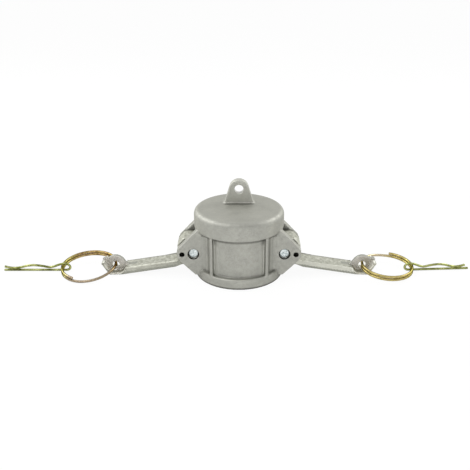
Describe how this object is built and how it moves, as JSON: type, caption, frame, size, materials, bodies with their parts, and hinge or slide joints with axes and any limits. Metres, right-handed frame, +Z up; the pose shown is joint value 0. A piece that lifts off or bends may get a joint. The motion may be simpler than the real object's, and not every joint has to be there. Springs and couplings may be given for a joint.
{
  "type": "female coupling cap",
  "caption": "Dust cap for a cam and groove adapter: a short cup with a flat gasket, cam arms on eared pivots, pull rings, safety clips and a tether lug.",
  "frame": {"origin": "centre of the mouth's plane, on the floor that the cap stands on", "axes": "+Z up the cup's axis towards its closed end, X along the two arms, -Y towards the viewer"},
  "size_m": [0.3096, 0.058, 0.0611],
  "materials": {
    "cap_body": "sand cast, matt",
    "gasket": "moulded, matt",
    "pivot_pin_left": "turned",
    "pivot_pin_right": "turned",
    "cam_arm_left": "cast, tumbled",
    "cam_arm_right": "cast, tumbled",
    "pull_ring_left": "yellow zinc plate",
    "pull_ring_right": "yellow zinc plate",
    "safety_clip_left": "yellow-green zinc plate",
    "safety_clip_right": "yellow-green zinc plate"
  },
  "bodies": {
    "cap": {"cap_body": "cap_body", "gasket": "gasket", "pivot_pin_left": "pivot_pin_left", "pivot_pin_right": "pivot_pin_right"},
    "arm_left": {"cam_arm_left": "cam_arm_left"},
    "arm_right": {"cam_arm_right": "cam_arm_right"},
    "ring_left": {"pull_ring_left": "pull_ring_left"},
    "ring_right": {"pull_ring_right": "pull_ring_right"},
    "clip_left": {"safety_clip_left": "safety_clip_left"},
    "clip_right": {"safety_clip_right": "safety_clip_right"}
  },
  "joints": [
    {"name": "arm_left_hinge", "type": "hinge", "parent": "cap", "child": "arm_left", "pos_m": [-0.0291, 0, 0.0182], "axis": [0, 1, 0], "range_deg": [0, 99]},
    {"name": "arm_right_hinge", "type": "hinge", "parent": "cap", "child": "arm_right", "pos_m": [0.0291, 0, 0.0182], "axis": [0, -1, 0], "range_deg": [0, 99]},
    {"name": "ring_left_hinge", "type": "hinge", "parent": "arm_left", "child": "ring_left", "pos_m": [-0.0817, 0, 0.0045], "axis": [-0.1071, 0.9907, 0.0835], "range_deg": [-150, 45]},
    {"name": "ring_right_hinge", "type": "hinge", "parent": "arm_right", "child": "ring_right", "pos_m": [0.0817, 0, 0.0045], "axis": [-0.106, -0.9932, -0.0489], "range_deg": [-150, 45]},
    {"name": "clip_left_hinge", "type": "hinge", "parent": "ring_left", "child": "clip_left", "pos_m": [-0.11679, -0.00183, 0.0033], "axis": [0, -1, 0], "range_deg": [-60, 90]},
    {"name": "clip_right_hinge", "type": "hinge", "parent": "ring_right", "child": "clip_right", "pos_m": [0.1144, -0.00171, 0.00344], "axis": [0, 1, 0], "range_deg": [-60, 90]}
  ]
}
